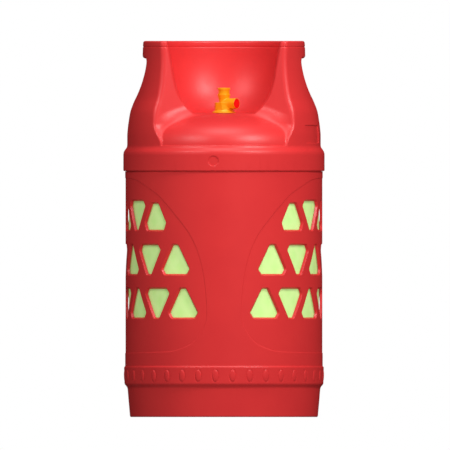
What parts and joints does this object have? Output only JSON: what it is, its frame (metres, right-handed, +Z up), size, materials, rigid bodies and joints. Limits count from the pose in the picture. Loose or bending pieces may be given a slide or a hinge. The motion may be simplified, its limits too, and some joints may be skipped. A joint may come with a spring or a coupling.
{
  "type": "composite gas cylinder",
  "caption": "Upright gas cylinder: a glass-fibre vessel in a moulded casing with triangular windows, a carrying collar open at the front and a brass clip-on valve with a side relief port.",
  "frame": {"origin": "centre of the base, on the surface that the cylinder stands on", "axes": "+Z up along the cylinder's axis, -Y towards the open front of the valve bowl, +X to the right of a person facing that opening"},
  "size_m": [0.305, 0.305, 0.57],
  "materials": {
    "casing_red": "satin moulded polyethylene",
    "composite_green": "translucent wound glass fibre in resin",
    "liner_plastic": "natural polyethylene",
    "brass": "machined",
    "spring_steel": "drawn wire",
    "black_rubber": "smooth",
    "grey_foam": "closed-cell foam",
    "cap_red": "moulded"
  },
  "bodies": {
    "cylinder": {"lower_casing": "casing_red", "upper_casing": "casing_red", "base_cushion": "grey_foam", "neck_grommet": "black_rubber", "composite_shell": "composite_green", "liner": "liner_plastic", "boss": "brass", "boss_seal": "black_rubber", "valve_body": "brass", "valve_oring": "black_rubber", "outlet_seal": "black_rubber", "poppet_spring": "spring_steel", "spring_seat": "brass", "relief_plug": "brass"},
    "outlet_poppet": {"poppet": "brass", "poppet_seal": "black_rubber"},
    "relief_valve": {"relief_piston": "brass", "relief_seal": "black_rubber", "relief_spring": "spring_steel"},
    "dust_cap": {"relief_cap": "cap_red"}
  },
  "joints": [
    {"name": "poppet_press", "type": "slide", "parent": "cylinder", "child": "outlet_poppet", "axis": [0, 0, -1], "range_m": [0, 0.0035], "stiffness_N_per_m": 800, "springref_m": -0.005, "deforming": ["poppet_spring"]},
    {"name": "relief_lift", "type": "slide", "parent": "cylinder", "child": "relief_valve", "axis": [0.7986, -0.6018, 0], "range_m": [0, 0.0015], "stiffness_N_per_m": 2000, "springref_m": -0.003},
    {"name": "dust_cap_pull", "type": "slide", "parent": "cylinder", "child": "dust_cap", "axis": [0.7986, -0.6018, 0], "range_m": [0, 0.015]}
  ]
}
